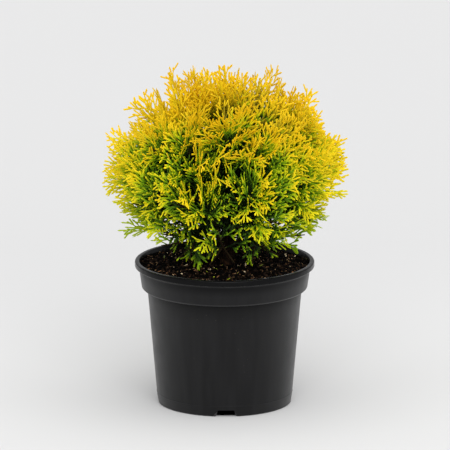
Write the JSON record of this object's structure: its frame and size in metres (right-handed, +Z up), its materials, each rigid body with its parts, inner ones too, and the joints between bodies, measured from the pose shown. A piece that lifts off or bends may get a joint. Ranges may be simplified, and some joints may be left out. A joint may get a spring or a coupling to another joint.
{
  "type": "potted globe arborvitae",
  "caption": "Potted globe arborvitae: a dense golden ball of flat scaly sprays on a short forked stem, in soil in a round black nursery pot with a collared rim and a notched foot.",
  "frame": {"origin": "middle of the circle that the pot stands on, under the middle of the plant's overall box", "axes": "+Z up along the stem and the pot's axis, -Y towards the viewer of the picture, +X to that viewer's right"},
  "size_m": [0.2541, 0.2551, 0.3612],
  "materials": {
    "pot": "satin charcoal moulded plastic",
    "soil": "moist dark peat with bark chips and pale grains",
    "bark": "rough red-brown bark",
    "foliage_gold": "matt golden scale leaves",
    "foliage_green": "matt green scale leaves"
  },
  "bodies": {
    "root": {"pot": "pot", "soil": "soil", "stem": "bark", "bough_skirt_1": "bark", "bough_skirt_2": "bark", "bough_skirt_3": "bark", "bough_skirt_4": "bark", "bough_skirt_5": "bark", "bough_skirt_6": "bark", "bough_skirt_7": "bark", "bough_skirt_8": "bark", "bough_middle_1": "bark", "bough_middle_2": "bark", "bough_middle_3": "bark", "bough_middle_4": "bark", "bough_middle_5": "bark", "bough_middle_6": "bark", "bough_middle_7": "bark", "bough_middle_8": "bark", "bough_upper_1": "bark", "bough_upper_2": "bark", "bough_upper_3": "bark", "bough_upper_4": "bark", "bough_upper_5": "bark", "bough_top_1": "bark", "foliage_skirt_1": "foliage_green", "foliage_skirt_2": "foliage_green", "foliage_skirt_3": "foliage_green", "foliage_skirt_4": "foliage_green", "foliage_skirt_5": "foliage_green", "foliage_skirt_6": "foliage_green", "foliage_skirt_7": "foliage_green", "foliage_skirt_8": "foliage_green", "foliage_middle_1": "foliage_gold", "foliage_middle_2": "foliage_gold", "foliage_middle_3": "foliage_gold", "foliage_middle_4": "foliage_gold", "foliage_middle_5": "foliage_gold", "foliage_middle_6": "foliage_gold", "foliage_middle_7": "foliage_gold", "foliage_middle_8": "foliage_gold", "foliage_upper_1": "foliage_gold", "foliage_upper_2": "foliage_gold", "foliage_upper_3": "foliage_gold", "foliage_upper_4": "foliage_gold", "foliage_upper_5": "foliage_gold", "foliage_top_1": "foliage_gold"}
  },
  "joints": []
}
